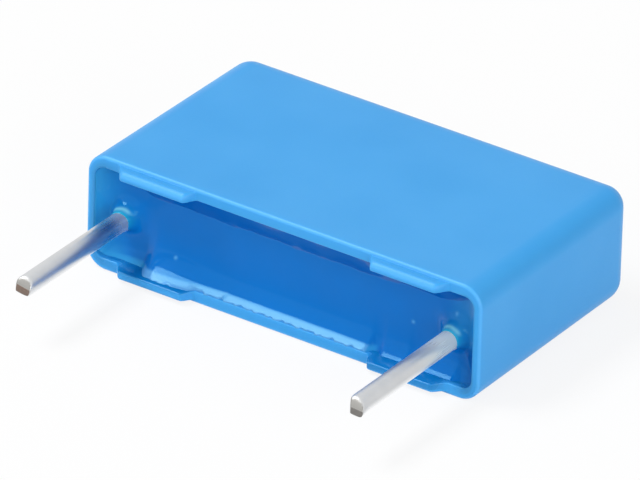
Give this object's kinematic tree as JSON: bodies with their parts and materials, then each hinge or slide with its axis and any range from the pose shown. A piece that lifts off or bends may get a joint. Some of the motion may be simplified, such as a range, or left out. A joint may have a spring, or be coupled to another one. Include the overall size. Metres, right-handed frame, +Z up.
{
  "type": "film capacitor",
  "caption": "Box film capacitor: a drafted plastic case, open on one side, filled with resin round a flat film winding, with straight tinned leads and standoffs on the rim.",
  "frame": {"origin": "centre of the bounding box at its lowest face, under the middle of the broad wall that it lies on", "axes": "+X along the row of leads, -Y the way the leads leave the case, +Z up through the thin direction"},
  "size_m": [0.018, 0.0168, 0.0049],
  "materials": {
    "case_plastic": "satin",
    "potting_resin": "gloss",
    "metallised_film": "satin",
    "sprayed_zinc": "matte",
    "tinned_wire": "satin"
  },
  "bodies": {
    "root": {"case": "case_plastic", "resin": "potting_resin", "winding": "metallised_film", "end_spray_left": "sprayed_zinc", "end_spray_right": "sprayed_zinc", "lead_left": "tinned_wire", "lead_right": "tinned_wire"}
  },
  "joints": []
}
